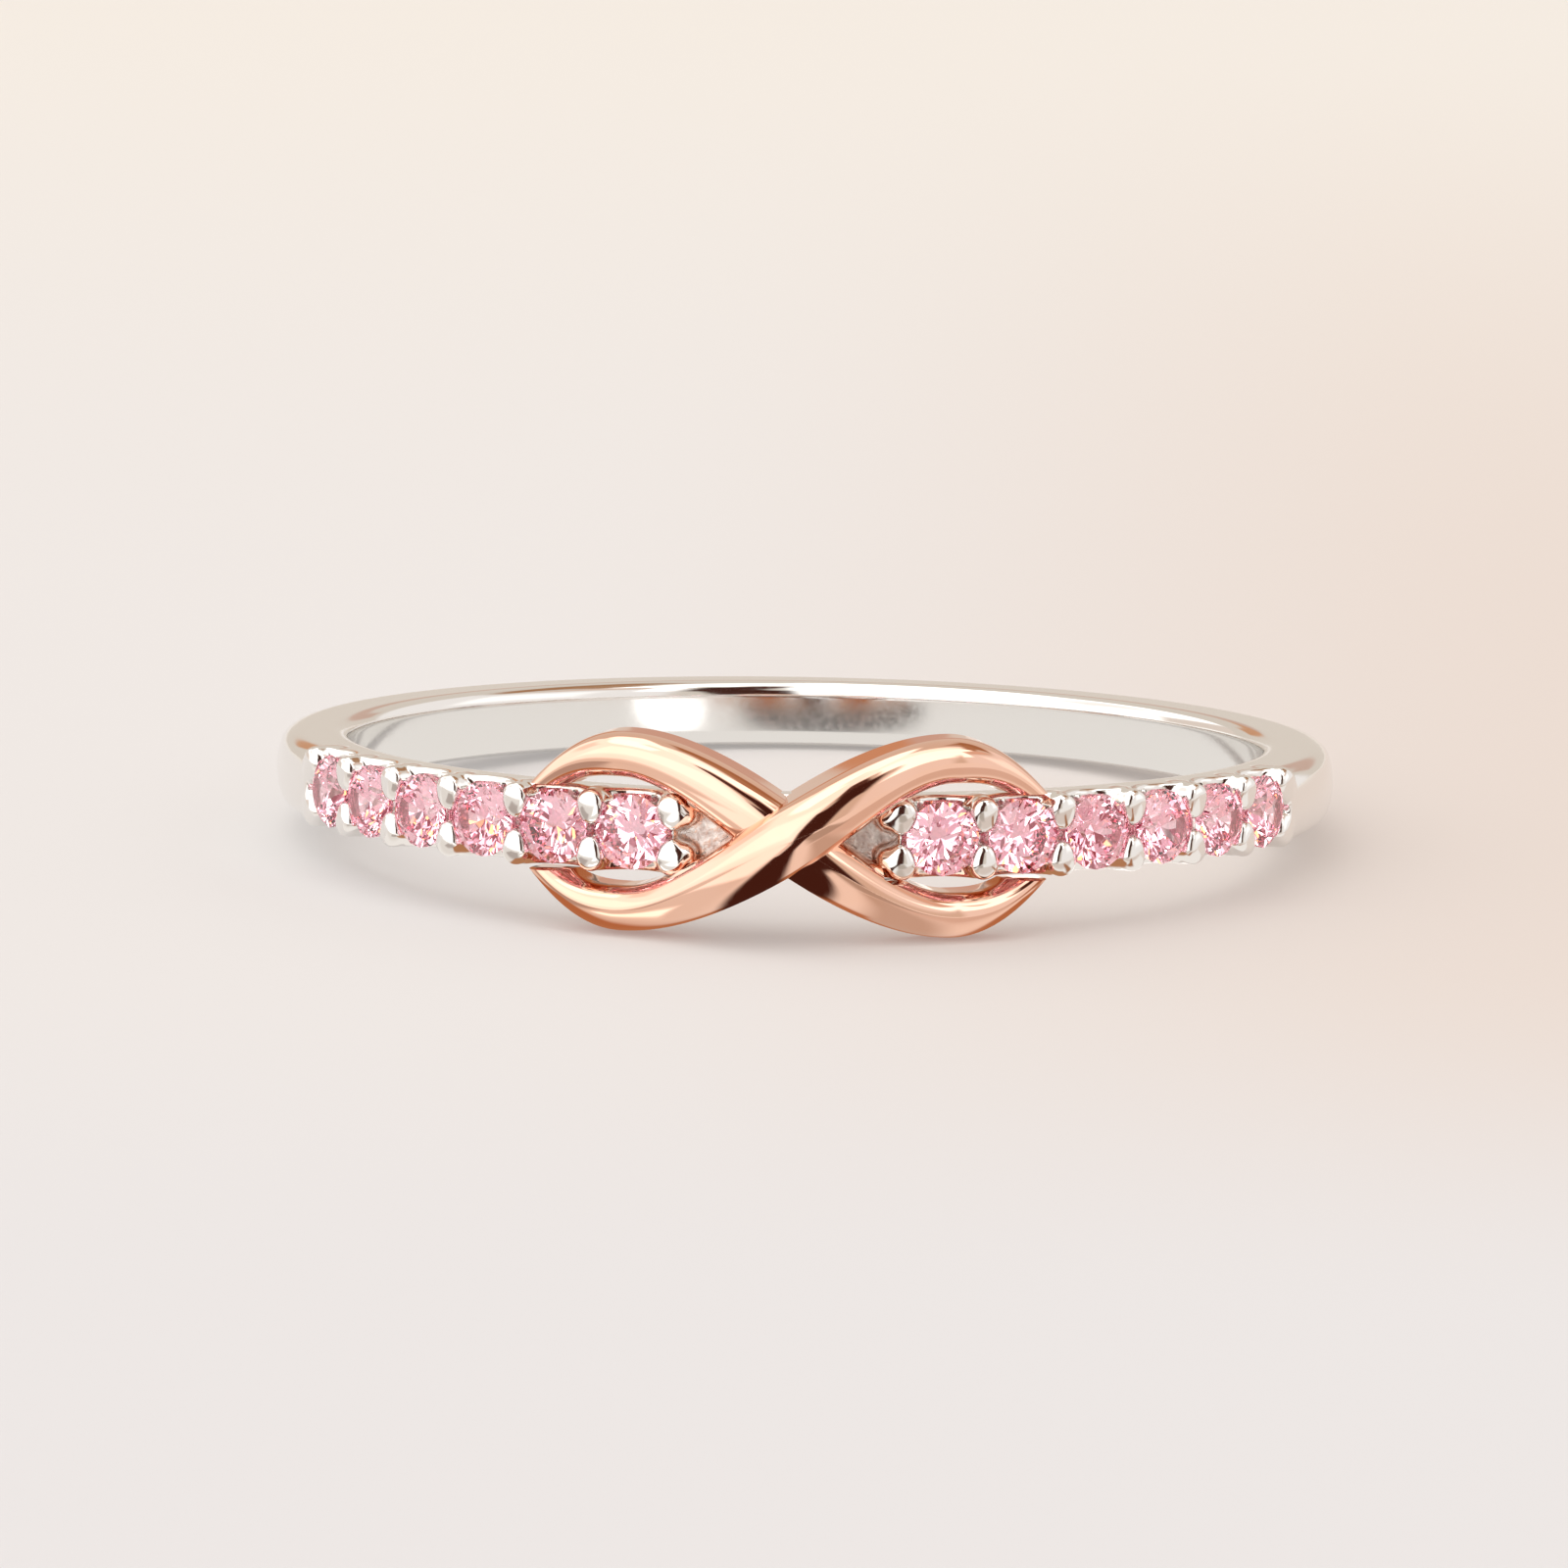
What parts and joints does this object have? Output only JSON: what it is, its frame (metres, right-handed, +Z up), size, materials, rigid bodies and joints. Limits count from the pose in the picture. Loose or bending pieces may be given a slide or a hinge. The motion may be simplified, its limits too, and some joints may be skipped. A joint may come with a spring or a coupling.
{
  "type": "infinity ring",
  "caption": "Finger ring with a polished band, round pink stones held in beads on both shoulders, and a rose gold infinity crossing the front.",
  "frame": {"origin": "middle of the finger hole", "axes": "+Z up from the surface that the ring lies on, -Y towards the front with the infinity, +X to the right of someone who looks at the front"},
  "size_m": [0.02, 0.0208, 0.0037],
  "materials": {
    "silver": "polished sterling silver with a rhodium plate",
    "rose_gold": "polished rose gold",
    "pink_stone": "faceted and polished pink cubic zirconia"
  },
  "bodies": {
    "root": {"band": "silver", "infinity": "rose_gold", "stone_left_1": "pink_stone", "stone_left_2": "pink_stone", "stone_left_3": "pink_stone", "stone_left_4": "pink_stone", "stone_left_5": "pink_stone", "stone_left_6": "pink_stone", "stone_right_1": "pink_stone", "stone_right_2": "pink_stone", "stone_right_3": "pink_stone", "stone_right_4": "pink_stone", "stone_right_5": "pink_stone", "stone_right_6": "pink_stone"}
  },
  "joints": []
}
